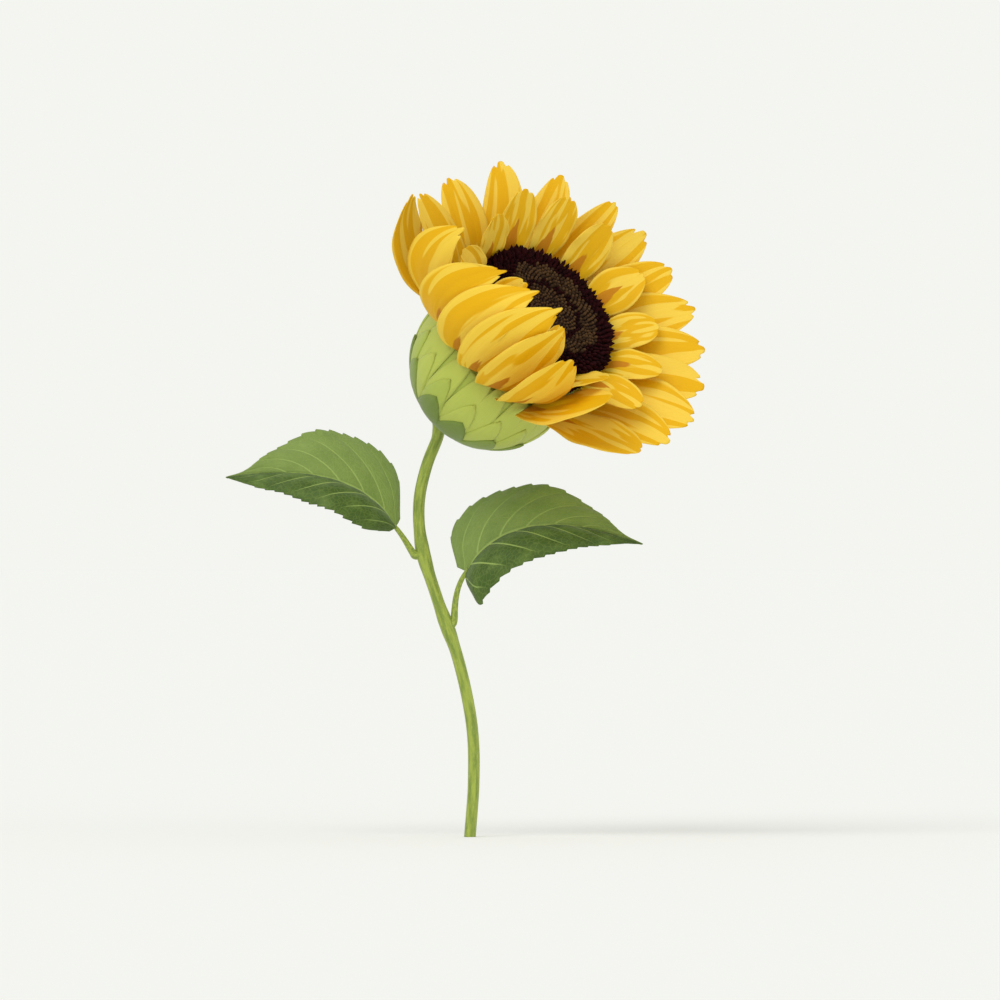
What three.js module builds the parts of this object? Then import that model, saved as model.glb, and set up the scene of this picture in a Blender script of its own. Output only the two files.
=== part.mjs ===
// A young sunflower plant in flower: one curved stem, two stalked leaves and one large bloom.
// Millimetres and degrees, +Z up, the front faces -Y.
// The origin is the centre of the stem's flat cut at ground level.
// The bloom is a green cup, a thick seed disc, and an outer and an inner whorl of ray petals.

import * as THREE from 'three';
import { mergeVertices } from 'three/addons/utils/BufferGeometryUtils.js';

const GAP = 0.4; // left between pieces that touch on the living plant

// Stem
const STEM_RADIUS = 4.1;
const STEM_RADIUS_TOP = 6.2; // where it swells into the cup
const STEM_SWELL_FROM = 0.93; // share of the stem's length at which the swelling starts
const STEM_SIDES = 10;
const STEM_STEPS = 44;
const STEM_STRAIGHT_TOP = 7; // the last stretch runs straight into the cup, along the bloom's axis
const FOOT_RING = 1; // vertices lower than this are laid flat at ground level
const STEM_ROUTE = [
  [0, 0, 0],
  [2.8, 0, 42],
  [1.5, 0, 82],
  [-8.5, 0, 131],
  [-24, 0, 176],
  [-35.6, 1, 215],
  [-37.8, 5, 248],
  [-32, 11, 276],
  [-24, 13, 297],
];

// Bloom
const DISC_CENTRE = [56.5, -68, 387]; // middle of the disc's rim plane
const FACE_HEADING = 45.5; // the way the bloom faces, turned from the front towards +X
const FACE_ELEVATION = 35; // and raised above the horizon
const DISC_RADIUS = 54.5;
const DISC_FOOT_RADIUS = 49;
const DISC_FOOT_DEPTH = 44; // the disc's back, behind its rim plane
const DISC_SHOULDER_DEPTH = 12;
const DISC_EDGE_DEPTH = 3;
const DISC_CROWN = 7; // how far the florets stand proud of the rim plane
const DISC_BACK_BULGE = 1;
const CUP_RADIUS = 60.5;
const CUP_CENTRE_DEPTH = 66;
const CUP_RIM_DEPTH = 45;
const CUP_FLOOR_DEPTH = 50;
const CUP_RIM_INSET = 1; // the rim's inner edge stands this far outside the disc's foot
const CUP_FLOOR_INSET = 9;
const CUP_ARC_STEPS = 9;
const ROUND_SIDES = 36;

// Ray petals
const PETAL_THICKNESS = 1;
const PETAL_CUP = 0.16; // how far the edges curl up, as a share of the half width
const PETAL_STEPS = 9;
const DRIFT_GROWTH = 1.5; // the sideways drift grows as this power of the share of the length
const FIRST_AZIMUTH = -72; // on the bloom's own clock: 0 is right and 90 is up, seen from in front of it
const OUTER_WHORL = { radius: 57.6, depth: 43.5 };
const INNER_WHORL = { radius: 57.2, depth: 9 };

// One row for each petal, going round from FIRST_AZIMUTH: length, width, angle to the disc's plane at
// the root and at the tip, how far the tip drifts to the side of the next petal, and the roll.
const OUTER_PETALS = [
  [92, 36, 54, 18, 6, -22], // lowest, on the right
  [97, 38, 58, 20, 0, -22],
  [97, 38, 62, 24, -4, -22],
  [98, 38, 66, 28, -8, -20],
  [99, 38, 70, 32, -10, -18],
  [97, 37, 74, 36, -10, -14],
  [98, 31, 76, 38, -10, -8], // farthest up and to the right
  [99, 25, 76, 38, -12, 2],
  [95, 26, 68, 32, -4, 10],
  [93, 28, 58, 16, 0, 14],
  [81, 28, 46, 10, 4, 16],
  [78, 30, 34, 18, 2, 16],
  [102, 32, -8, 76, -2, 22], // upper left
  [102, 38, 8, 114, -2, -44],
  [110, 40, 14, 142, 10, -30],
  [112, 43, 26, 152, 10, -28],
  [110, 41, 34, 156, 12, -26], // nearest, standing over the disc
  [95, 40, 36, 144, 8, -24],
  [88, 38, 34, 112, 2, -22],
  [100, 40, 48, 66, 0, -44],
  [98, 38, 36, 38, 0, -22],
];
const INNER_PETALS = [
  [48, 26, 40, 20, 0, -28],
  [46, 26, 50, 25, 0, -16],
  [44, 28, 55, 30, 0, -16],
  [50, 30, 60, 35, 0, -12],
  [54, 28, 66, 46, 0, -10],
  [56, 28, 66, 48, -4, -4],
  [54, 28, 65, 50, -4, 24],
  [46, 26, 70, 58, 0, 26],
  [40, 22, 60, 20, 0, 30],
  [44, 24, 82, 124, 0, -12],
  [40, 21, 84, 160, 0, -14],
  [42, 22, 82, 150, 0, -16],
  [50, 25, 54, 60, 0, -38],
];

// Leaves
const STALK_RADIUS_STEM = 3.1;
const STALK_RADIUS_LEAF = 1.7;
const STALK_SIDES = 8;
const STALK_STEPS = 10;
const LEAF_THICKNESS = 1.2;
const LEAF_STEPS = 12;
const LEAF_COLUMNS = 6;
const STALK_TAPER = 0.6;
const LOBES_END = 0.625; // share of the blade at which its lobes have turned into the forward sweep
const TIP_SWEEP = 0.35; // forward sweep of the blade's edge near the tip, as a share of its half width

const straw = new THREE.MeshStandardMaterial({ color: 0xe6b102, roughness: 0.55, metalness: 0 });
const greens = {
  stem: new THREE.MeshStandardMaterial({ color: 0x98ab45, roughness: 0.6, metalness: 0 }),
  leaf: new THREE.MeshStandardMaterial({ color: 0x688639, roughness: 0.65, metalness: 0 }),
  cup: new THREE.MeshStandardMaterial({ color: 0xb8c252, roughness: 0.6, metalness: 0 }),
};
const seedBrown = new THREE.MeshStandardMaterial({ color: 0x3d2b1b, roughness: 0.9, metalness: 0 });

const plant = new THREE.Group();
const radians = THREE.MathUtils.degToRad;
const mix = THREE.MathUtils.lerp;

function vector(values) {
  return new THREE.Vector3(...values);
}

function addPiece(name, geometry, material) {
  const mesh = new THREE.Mesh(geometry, material);
  mesh.name = name;
  plant.add(mesh);
}

// Moves every vertex of a closed geometry to the place that a rule gives it.
function reshape(geometry, place) {
  geometry.deleteAttribute('normal');
  geometry.deleteAttribute('uv');
  const merged = mergeVertices(geometry, 1e-4);
  const position = merged.attributes.position;
  const vertex = new THREE.Vector3();
  for (let i = 0; i < position.count; i += 1) {
    vertex.fromBufferAttribute(position, i);
    const moved = place(vertex);
    position.setXYZ(i, moved.x, moved.y, moved.z);
  }
  merged.computeVertexNormals();
  return merged;
}

// The point at a share of an arc that starts at an angle and turns evenly: [forward, up].
function arcPoint(length, start, turn, share) {
  const half = radians(turn * share) / 2;
  const chord = length * share * (Math.abs(half) < 1e-6 ? 1 : Math.sin(half) / half);
  const angle = radians(start) + half;
  return [chord * Math.cos(angle), chord * Math.sin(angle)];
}

// A round limb along a curve: each ring of a cylinder is laid square to the curve.
function limb(curve, sides, steps, radiusAt) {
  const frames = curve.computeFrenetFrames(steps, false);
  const cylinder = new THREE.CylinderGeometry(1, 1, 1, sides, steps);
  return reshape(cylinder, (vertex) => {
    const station = Math.round((vertex.y + 0.5) * steps);
    const share = station / steps;
    const radius = radiusAt(share);
    return curve.getPointAt(share)
      .addScaledVector(frames.normals[station], vertex.z * radius)
      .addScaledVector(frames.binormals[station], vertex.x * radius);
  });
}

// The bloom's own frame: forward is the way it faces, right is level, up is across both.
const heading = radians(FACE_HEADING);
const elevation = radians(FACE_ELEVATION);
const faceForward = new THREE.Vector3(
  Math.cos(elevation) * Math.sin(heading),
  -Math.cos(elevation) * Math.cos(heading),
  Math.sin(elevation),
);
const faceRight = new THREE.Vector3(Math.cos(heading), Math.sin(heading), 0);
const faceUp = faceForward.clone().cross(faceRight);

function bloomPoint(radius, azimuth, height) {
  const angle = radians(azimuth);
  return vector(DISC_CENTRE)
    .addScaledVector(faceRight, radius * Math.cos(angle))
    .addScaledVector(faceUp, radius * Math.sin(angle))
    .addScaledVector(faceForward, height);
}

// A solid of revolution about the bloom's axis, from a profile of [radius, height] pairs.
function turned(profile) {
  const points = profile.map(([radius, height]) => new THREE.Vector2(radius, height));
  const lathe = new THREE.LatheGeometry(points, ROUND_SIDES);
  return reshape(lathe, (vertex) => vector(DISC_CENTRE)
    .addScaledVector(faceRight, vertex.z)
    .addScaledVector(faceUp, vertex.x)
    .addScaledVector(faceForward, vertex.y));
}

function buildStem() {
  const cupBottom = -CUP_CENTRE_DEPTH - CUP_RADIUS;
  const points = [
    ...STEM_ROUTE.map(vector),
    bloomPoint(0, 0, cupBottom - STEM_STRAIGHT_TOP),
    bloomPoint(0, 0, cupBottom - GAP),
  ];
  const route = new THREE.CatmullRomCurve3(points, false, 'centripetal');
  const geometry = limb(route, STEM_SIDES, STEM_STEPS, (share) => {
    const swell = THREE.MathUtils.smoothstep(share, STEM_SWELL_FROM, 1);
    return mix(STEM_RADIUS, STEM_RADIUS_TOP, swell);
  });
  // The foot is cut flat and level.
  const cut = reshape(geometry, (vertex) => vertex.setZ(vertex.z < FOOT_RING ? 0 : vertex.z));
  addPiece('stem', cut, greens.stem);
}

function buildCup() {
  const profile = [[0, -CUP_CENTRE_DEPTH - CUP_RADIUS]];
  const rimAngle = Math.asin((CUP_CENTRE_DEPTH - CUP_RIM_DEPTH) / CUP_RADIUS);
  for (let i = 1; i <= CUP_ARC_STEPS; i += 1) {
    const angle = mix(-Math.PI / 2, rimAngle, i / CUP_ARC_STEPS);
    profile.push([CUP_RADIUS * Math.cos(angle), -CUP_CENTRE_DEPTH + CUP_RADIUS * Math.sin(angle)]);
  }
  profile.push([DISC_FOOT_RADIUS + CUP_RIM_INSET, -CUP_RIM_DEPTH]);
  profile.push([DISC_FOOT_RADIUS - CUP_FLOOR_INSET, -CUP_FLOOR_DEPTH]);
  profile.push([0, -CUP_FLOOR_DEPTH]);
  addPiece('cup', turned(profile), greens.cup);
}

// The disc is crowned near its edge and dished a little in the middle.
function buildDisc() {
  addPiece('disc', turned([
    [0, -DISC_FOOT_DEPTH - DISC_BACK_BULGE],
    [DISC_FOOT_RADIUS, -DISC_FOOT_DEPTH],
    [DISC_RADIUS * 0.98, -DISC_SHOULDER_DEPTH],
    [DISC_RADIUS, -DISC_EDGE_DEPTH],
    [DISC_RADIUS * 0.93, DISC_CROWN * 0.45],
    [DISC_RADIUS * 0.72, DISC_CROWN],
    [DISC_RADIUS * 0.45, DISC_CROWN * 0.8],
    [0, DISC_CROWN * 0.35],
  ]), seedBrown);
}

// Half width of a ray petal as a share of its widest: a narrow claw, widest past the middle, blunt tip.
function petalOutline(share) {
  return Math.sin(Math.PI * (0.07 + 0.83 * share ** 1.2)) ** 0.6;
}

// A ray petal is a thin blade on an arc that lies in the plane of its heading and the bloom's axis.
// Its edges curl up, and it is rolled a little about its length, so that each overlaps the next.
function petal(whorl, azimuth, [length, width, rootAngle, tipAngle, drift, rollAngle]) {
  const root = bloomPoint(whorl.radius, azimuth, -whorl.depth);
  const outward = bloomPoint(1, azimuth, 0).sub(vector(DISC_CENTRE));
  const sideways = outward.clone().cross(faceForward);
  const turn = tipAngle - rootAngle;
  const roll = radians(rollAngle);
  const blade = new THREE.BoxGeometry(2, 1, PETAL_THICKNESS, 2, PETAL_STEPS, 1);
  return reshape(blade, (vertex) => {
    const share = vertex.y + 0.5;
    const [out, up] = arcPoint(length, rootAngle, turn, share);
    const angle = radians(mix(rootAngle, tipAngle, share));
    const face = faceForward.clone()
      .multiplyScalar(Math.cos(angle))
      .addScaledVector(outward, -Math.sin(angle));
    const halfWidth = (width / 2) * petalOutline(share);
    const across = vertex.x * halfWidth;
    const lift = PETAL_CUP * halfWidth * vertex.x ** 2 + vertex.z;
    const aside = across * Math.cos(roll) - lift * Math.sin(roll) - drift * share ** DRIFT_GROWTH;
    return root.clone()
      .addScaledVector(outward, out)
      .addScaledVector(faceForward, up)
      .addScaledVector(sideways, aside)
      .addScaledVector(face, across * Math.sin(roll) + lift * Math.cos(roll));
  });
}

function buildWhorl(word, petals, whorl) {
  petals.forEach((row, i) => {
    const azimuth = FIRST_AZIMUTH + (i * 360) / petals.length;
    const name = `ray_${word}_${String(i + 1).padStart(2, '0')}`;
    addPiece(name, petal(whorl, azimuth, row), straw);
  });
}

// Half width of a leaf as a share of its widest: broad near the foot, drawn out to a point by the taper.
function leafOutline(share, { fullness, taper }) {
  return Math.sin(Math.PI * mix(0.004, 0.985, share) ** fullness) ** mix(0.85, taper, share);
}

// A leaf blade hangs from an arching midrib. Its far half leans back and up, and its near half arches
// over and down. Near the foot the blade reaches backwards into two lobes, and near the tip forwards.
function leafBlade({ base, heading: way, length, rise, fall, far, near }) {
  const forward = new THREE.Vector3(Math.cos(radians(way)), Math.sin(radians(way)), 0);
  const up = new THREE.Vector3(0, 0, 1);
  const right = forward.clone().cross(up);
  const farSide = Math.sign(right.y);
  // The midrib turns fastest near the foot, so its stations are walked one by one.
  const stations = [base];
  const tangents = [];
  for (let i = 0; i <= LEAF_STEPS; i += 1) {
    const angle = radians(mix(rise, fall, 1 - (1 - i / LEAF_STEPS) ** 2));
    const level = forward.clone().multiplyScalar(Math.cos(angle));
    tangents.push(level.addScaledVector(up, Math.sin(angle)));
  }
  for (let i = 0; i < LEAF_STEPS; i += 1) {
    const step = tangents[i].clone().add(tangents[i + 1]).setLength(length / LEAF_STEPS);
    stations.push(stations[i].clone().add(step));
  }
  const blade = new THREE.BoxGeometry(2, 1, LEAF_THICKNESS, LEAF_COLUMNS, LEAF_STEPS, 1);
  return reshape(blade, (vertex) => {
    const station = Math.round((vertex.y + 0.5) * LEAF_STEPS);
    const share = station / LEAF_STEPS;
    const side = vertex.x > 0 ? 1 : -1;
    const half = side === farSide ? far : near;
    const reach = Math.abs(vertex.x);
    const halfWidth = half.width * leafOutline(share, half);
    const [across, lift] = arcPoint(halfWidth, half.slope, half.turn, reach);
    const slope = radians(half.slope + half.turn * reach);
    const tangent = tangents[station];
    const over = right.clone().cross(tangent);
    const sweep = mix(half.lobe, -TIP_SWEEP, Math.min(1, share / LOBES_END));
    return stations[station].clone()
      .addScaledVector(right, side * (across - vertex.z * Math.sin(slope)))
      .addScaledVector(over, lift + vertex.z * Math.cos(slope))
      .addScaledVector(tangent, -sweep * halfWidth * reach);
  });
}

function buildLeaf(word, stalkRoute, blade) {
  const route = new THREE.CubicBezierCurve3(...stalkRoute.map(vector));
  const radiusAt = (share) => mix(STALK_RADIUS_STEM, STALK_RADIUS_LEAF, share ** STALK_TAPER);
  addPiece(`leaf_stalk_${word}`, limb(route, STALK_SIDES, STALK_STEPS, radiusAt), greens.stem);
  const base = route.getPointAt(1).addScaledVector(route.getTangentAt(1), GAP + LEAF_THICKNESS / 2);
  addPiece(`leaf_blade_${word}`, leafBlade({ base, ...blade }), greens.leaf);
}

function buildLeaves() {
  buildLeaf('left', [[-40.3, -0.4, 209], [-43, -1, 210.5], [-47, -2, 220], [-54.5, -4, 229]], {
    heading: 186,
    length: 140,
    rise: 62,
    fall: -6,
    far: { width: 47, slope: 56, turn: -14, lobe: -0.45, fullness: 0.58, taper: 1.7 },
    near: { width: 44, slope: 0, turn: -74, lobe: 0, fullness: 0.5, taper: 0.9 },
  });
  buildLeaf('right', [[-13.0, 0, 158], [-9.5, 0, 159], [-14.5, -1, 180], [-3, -2, 196]], {
    heading: 352,
    length: 146,
    rise: 64,
    fall: -18,
    far: { width: 43, slope: 60, turn: -16, lobe: 0.05, fullness: 0.5, taper: 1.7 },
    near: { width: 44, slope: -8, turn: -78, lobe: 0.7, fullness: 0.42, taper: 1.1 },
  });
}

buildStem();
buildCup();
buildDisc();
buildWhorl('outer', OUTER_PETALS, OUTER_WHORL);
buildWhorl('inner', INNER_PETALS, INNER_WHORL);
buildLeaves();

export default plant;
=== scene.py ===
# %% [markdown]
# # A sunflower plant in flower
# The solids of the plant are already packed as a frame: a stem, two stalks, two leaf blades, a cup, a
# disc and two whorls of ray petals, all in metres with +Z up. This script grows the living surfaces on
# them: each petal, leaf and stalk is read back from its own solid and laid out again as a fine sheet or
# tube, so its place comes from the solid. Florets, scales and bracts are laid over the disc and the cup.

import bpy
import numpy as np
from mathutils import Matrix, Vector


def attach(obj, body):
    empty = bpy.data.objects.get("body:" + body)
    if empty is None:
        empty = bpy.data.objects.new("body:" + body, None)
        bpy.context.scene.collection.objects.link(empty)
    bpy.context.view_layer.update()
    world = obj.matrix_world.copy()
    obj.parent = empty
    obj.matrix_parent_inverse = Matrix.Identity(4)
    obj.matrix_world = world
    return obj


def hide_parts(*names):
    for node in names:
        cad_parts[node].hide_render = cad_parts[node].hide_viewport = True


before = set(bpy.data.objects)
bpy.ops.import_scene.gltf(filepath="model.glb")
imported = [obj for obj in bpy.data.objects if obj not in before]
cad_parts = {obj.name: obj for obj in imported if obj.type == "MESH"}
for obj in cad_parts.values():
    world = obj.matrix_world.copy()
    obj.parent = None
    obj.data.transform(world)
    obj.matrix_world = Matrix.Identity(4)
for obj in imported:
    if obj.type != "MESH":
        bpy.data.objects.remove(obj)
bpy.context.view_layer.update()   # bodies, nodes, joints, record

MM = 0.001
chance = np.random.default_rng(21)
print("nodes:", len(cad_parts))

# %% [markdown]
# ## Reading a solid back
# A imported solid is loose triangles. Merging the doubles gives its corners and edges. A limb or a blade was
# made in rings along its length, so its rings can be found again by walking outwards from one end: ring 1 is
# every corner that an edge joins to ring 0, and so on. That needs no numbers from the solid's own source.

# %% Corners, edges and rings of a node
MERGE = 1e-5


def corners_and_edges(node):
    """The node's corners with doubles merged, and each edge once, as a pair of corner numbers."""
    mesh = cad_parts[node].data
    flat = np.empty(len(mesh.vertices) * 3, np.float32)
    mesh.vertices.foreach_get("co", flat)
    loose = flat.reshape(-1, 3).astype(float)
    _, first, number = np.unique(
        np.round(loose / MERGE), axis=0, return_index=True, return_inverse=True)
    ends = np.empty(len(mesh.edges) * 2, np.int32)
    mesh.edges.foreach_get("vertices", ends)
    pairs = number.ravel()[ends].reshape(-1, 2)
    return loose[first], np.unique(np.sort(pairs, axis=1), axis=0)


def rings(points, edges, first):
    """The points in groups: those in first, then those one edge away, then two, to the far end."""
    ring = np.full(len(points), -1)
    ring[first] = 0
    step = 0
    while (ring < 0).any():
        touching = edges[(ring[edges] == step).any(axis=1)]
        step += 1
        ring[np.unique(touching[ring[touching] < 0])] = step
    return [points[ring == k] for k in range(step + 1)]


def cap_middles(edges):
    """The two corners in the middle of a round piece's end caps, which are those with the most edges."""
    return np.argsort(np.bincount(edges.ravel()))[-2:]


# %% Smooth curves through evenly spaced rows
def run_on(rows):
    """The rows with one more at each end, set on straight ahead."""
    return np.concatenate([[2 * rows[0] - rows[1]], rows, [2 * rows[-1] - rows[-2]]])


def cubic(a, b, c, d, t):
    """The curve from b at t = 0 to c at t = 1 that heads for the neighbours a and d."""
    return b + 0.5 * t * (c - a + t * (2 * a - 5 * b + 4 * c - d + t * (3 * (b - c) + d - a)))


def smooth(rows, at):
    """Values between rows, by the cubic through each pair of rows that heads for their neighbours.

    at is a flat array that runs from 0 to the number of the last row.
    """
    longer = run_on(rows)
    i = np.clip(np.floor(at).astype(int), 0, len(rows) - 2)
    t = (at - i).reshape(-1, *[1] * (rows.ndim - 1))
    return cubic(*(longer[i + k] for k in range(4)), t)


def unit(vectors):
    """Vectors of length 1 along the last axis."""
    return vectors / np.maximum(np.linalg.norm(vectors, axis=-1, keepdims=True), 1e-12)


def ease(low, high, value):
    """0 below low, 1 above high, and an S-shaped rise between."""
    t = np.clip((value - low) / (high - low), 0, 1)
    return t * t * (3 - 2 * t)


# %% [markdown]
# ## From a grid of points to a piece
# Every surface here is a grid: rows along the piece and columns across or round it. One helper turns grids
# into faces, and it takes a whole stack of grids at once, so that a hundred bracts or a thousand florets
# are one piece. Each corner also keeps its place in the grid as a UV, for patterns that follow the surface.

# %% Build a piece from grids
def grid_faces(rows, columns, around=False):
    """Quads between neighbours in a grid, closed round from the last column to the first if asked."""
    number = np.arange(rows * columns).reshape(rows, columns)
    if around:
        number = np.hstack([number, number[:, :1]])
    return np.stack(
        [number[:-1, :-1], number[:-1, 1:], number[1:, 1:], number[1:, :-1]], -1).reshape(-1, 4)


def grid_uv(rows, columns, around=False):
    """The UV of each face corner, in the order of grid_faces: across or round, then along."""
    wide = columns + 1 if around else columns
    along, across = np.meshgrid(
        np.linspace(0, 1, rows), np.linspace(0, 1, wide), indexing="ij")
    spot = np.stack([across, along], -1)
    return np.stack([spot[:-1, :-1], spot[:-1, 1:], spot[1:, 1:], spot[1:, :-1]], 2).reshape(-1, 2)


def make_piece(name, grids, materials, around=False, deal=None, thickness=0, stands_for=()):
    """One object from a stack of grids shaped (how many, rows, columns, 3).

    deal gives each grid the number of its material. A thickness turns a sheet into a closed blade.
    """
    grids = np.asarray(grids, float)
    count, rows, columns = grids.shape[:3]
    one = grid_faces(rows, columns, around)
    faces = (np.arange(count)[:, None, None] * rows * columns + one).reshape(-1, 4)
    mesh = bpy.data.meshes.new(name)
    mesh.from_pydata(grids.reshape(-1, 3).tolist(), [], faces.tolist())
    layer = mesh.uv_layers.new(name="Surface")
    layer.data.foreach_set("uv", np.tile(grid_uv(rows, columns, around), (count, 1)).ravel())
    mesh.polygons.foreach_set("use_smooth", np.ones(len(faces), bool))
    for material in materials:
        mesh.materials.append(material)
    if deal is not None:
        mesh.polygons.foreach_set("material_index", np.repeat(deal, len(one)).astype(np.int32))
    piece = bpy.data.objects.new(name, mesh)
    bpy.context.scene.collection.objects.link(piece)
    if thickness:
        shell = piece.modifiers.new("thickness", "SOLIDIFY")
        shell.thickness = thickness
        shell.offset = 0
        shell.use_even_offset = False
        if deal is None and len(materials) > 1:
            shell.material_offset = 1
    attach(piece, "root")
    if stands_for:
        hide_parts(*stands_for)
    return piece


def carry(path, radius, sides, ridges, ridge_count):
    """A tube: a ring of the given radius, with shallow ridges, laid square to every point of a path.

    The ring's first axis is square to the path and to one fixed direction, so the tube does not twist.
    """
    tangent = unit(np.gradient(path, axis=0))
    level = unit(np.cross(tangent, [0, 1, 0.01]))
    other = np.cross(tangent, level)
    angle = np.linspace(0, 2 * np.pi, sides, endpoint=False)
    wave = 1 + ridges * np.cos(ridge_count * angle)
    reach = np.broadcast_to(radius, (len(path),))[:, None] * wave
    return (path[:, None] + reach[..., None] * (
        np.cos(angle)[:, None] * level[:, None] + np.sin(angle)[:, None] * other[:, None]))


# %% [markdown]
# ## Finishes
# Each finish is one Principled shader whose colour and relief come from nodes. Colours are written as they
# look on a screen, 0 to 255, and turned into the linear light that the shader works in. A few short helpers
# keep the node trees readable: add makes a node, calc does sums, step_up eases from one value to another
# and tint mixes two colours.

# %% Helpers for node trees
PLANT_GLOSS = 0.35
RELIEF_STRENGTH = 0.6


def screen_colour(red, green, blue):
    """Linear RGBA from screen values of 0 to 255."""
    value = np.array([red, green, blue]) / 255
    linear = np.where(value <= 0.04045, value / 12.92, ((value + 0.055) / 1.055) ** 2.4)
    return (*linear.tolist(), 1.0)


def add(tree, kind, inputs, **settings):
    """A node of that kind, with sockets filled by values or by links."""
    node = tree.nodes.new("ShaderNode" + kind)
    for key, value in settings.items():
        setattr(node, key, value)
    for key, value in inputs.items():
        if isinstance(value, bpy.types.NodeSocket):
            tree.links.new(value, node.inputs[key])
        else:
            node.inputs[key].default_value = value
    return node


def calc(tree, operation, a, b=0.0):
    """One sum on two numbers."""
    return add(tree, "Math", {0: a, 1: b}, operation=operation).outputs[0]


def step_up(tree, value, low, high):
    """0 at low, 1 at high, eased between. low may be above high."""
    node = add(tree, "MapRange", {"Value": value, "From Min": low, "From Max": high},
               interpolation_type="SMOOTHSTEP")
    return node.outputs[0]


def tint(tree, share, first, second):
    """A mix of two colours."""
    node = add(tree, "Mix", {0: share, 6: first, 7: second}, data_type="RGBA")
    return node.outputs[2]


def place(tree, sideways, lengthways):
    """A pattern's coordinates: the surface's own UV, stretched across and along."""
    surface = add(tree, "UVMap", {}, uv_map="Surface").outputs[0]
    return add(tree, "Mapping", {"Vector": surface, "Scale": (sideways, lengthways, 1)}).outputs[0]


def across_and_along(tree):
    """The UV's two numbers: across the piece and along it."""
    surface = add(tree, "UVMap", {}, uv_map="Surface").outputs[0]
    parts = add(tree, "SeparateXYZ", {0: surface})
    return parts.outputs[0], parts.outputs[1]


def speckle(tree, vector, scale, detail=3.0):
    """Soft noise from 0 to 1."""
    return add(tree, "TexNoise", {"Vector": vector, "Scale": scale, "Detail": detail}).outputs[0]


def finish(name, roughness, sheen=0.0):
    """A new material: its node tree and its shader."""
    material = bpy.data.materials.new(name)
    material.use_nodes = True
    shader = material.node_tree.nodes["Principled BSDF"]
    shader.inputs["Roughness"].default_value = roughness
    shader.inputs["Sheen Weight"].default_value = sheen
    shader.inputs["Specular IOR Level"].default_value = PLANT_GLOSS
    return material, material.node_tree, shader


def relief(tree, shader, height, depth):
    """Fine relief on the shader, from a height of 0 to 1 and its depth in metres."""
    bump = add(tree, "Bump", {"Height": height, "Distance": depth, "Strength": RELIEF_STRENGTH})
    tree.links.new(bump.outputs[0], shader.inputs["Normal"])


# %% [markdown]
# ## The bloom's own axis
# The disc and the cup are turned about one axis. The middles of the disc's two faces give that axis, its
# widest ring gives the rim plane and the radius, and the cup's outer middle is where the stem arrives.
# From these come a forward, a right and an up direction that everything in the bloom is laid out on.

# %% Measure the bloom
disc_points, disc_edges = corners_and_edges("disc")
cup_points, cup_edges = corners_and_edges("cup")
disc_ends = disc_points[cap_middles(disc_edges)]
cup_ends = cup_points[cap_middles(cup_edges)]
cup_middle = cup_points.mean(axis=0)
order = np.argsort(np.linalg.norm(disc_ends - cup_middle, axis=1))
disc_back, disc_front = disc_ends[order]
forward = unit(disc_front - disc_back)
right = unit(np.cross([0, 0, 1], forward))
up = np.cross(forward, right)
cup_bottom = cup_ends[np.argmin(cup_ends @ forward)]


def turned_profile(points, edges, start):
    """Distance from the axis and height along it, ring by ring, from the middle of one face."""
    ring_list = rings(points, edges, [start])
    middles = np.array([ring.mean(axis=0) for ring in ring_list])
    reach = np.array([np.linalg.norm(r - m, axis=1).mean() for r, m in zip(ring_list, middles)])
    return reach, (middles - disc_back) @ forward


disc_start = cap_middles(disc_edges)[order][1]
disc_reach, disc_height = turned_profile(disc_points, disc_edges, disc_start)
disc_radius = disc_reach.max()
rim_height = disc_height[np.argmax(disc_reach)]
bloom_middle = disc_back + rim_height * forward
print("disc radius mm", round(disc_radius / MM, 1), "faces", np.round(forward, 3))


def bloom_point(reach, clock, height):
    """A point of the bloom: reach from the axis, clock angle from the right, height over the rim plane."""
    reach, clock, height = np.broadcast_arrays(reach, clock, height)
    return (bloom_middle + (reach * np.cos(clock))[..., None] * right
            + (reach * np.sin(clock))[..., None] * up + height[..., None] * forward)


def outward_at(clock):
    """The direction away from the axis at each clock angle."""
    return np.cos(clock)[:, None] * right + np.sin(clock)[:, None] * up


# %% [markdown]
# ## Ray petals
# A ray petal is a thin strap: a narrow claw, widest past the middle, and a tip with two or three small
# teeth. Two grooves run its whole length, its edges curl up and ripple, and it twists a little. Each is a
# sheet over its own solid's middle surface: the solid's rings give the centre line and the way across, and
# a formula in u (across, -1 to 1) and v (along, 0 to 1) gives the rest. Every petal has its own piece.

# %% Read a petal's middle surface
PETAL_RING = 6


def petal_frame(node):
    """The centre line, the way across and the way up at each ring of a petal, and its half width."""
    points, edges = corners_and_edges(node)
    first = np.argsort(np.linalg.norm(points - cup_bottom, axis=1))[:PETAL_RING]
    ring = np.array(rings(points, edges, first))
    middle = ring.mean(axis=1)
    across = np.linalg.svd(ring - middle[:, None])[2][:, 0]
    outward = middle.mean(axis=0) - bloom_middle
    side = np.cross(forward, outward - (outward @ forward) * forward)
    across *= np.where(across @ side < 0, -1, 1)[:, None]
    place_across = np.einsum("rpk,rk->rp", ring - middle[:, None], across)
    half = np.ptp(place_across, axis=1).max() / 2
    along = unit(np.gradient(middle, axis=0))
    upper = unit(np.cross(along, across))
    return middle, across, upper, half


def petal_outline(v, point):
    """Half width as a share of the widest: a narrow claw, widest past the middle, then the tip.

    point is 0 for a blunt tip and 1 for a tip drawn out to a point.
    """
    return np.sin(np.pi * (0.12 + (0.75 + 0.09 * point) * v ** (1.25 + 0.35 * point))) ** 0.6


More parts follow.
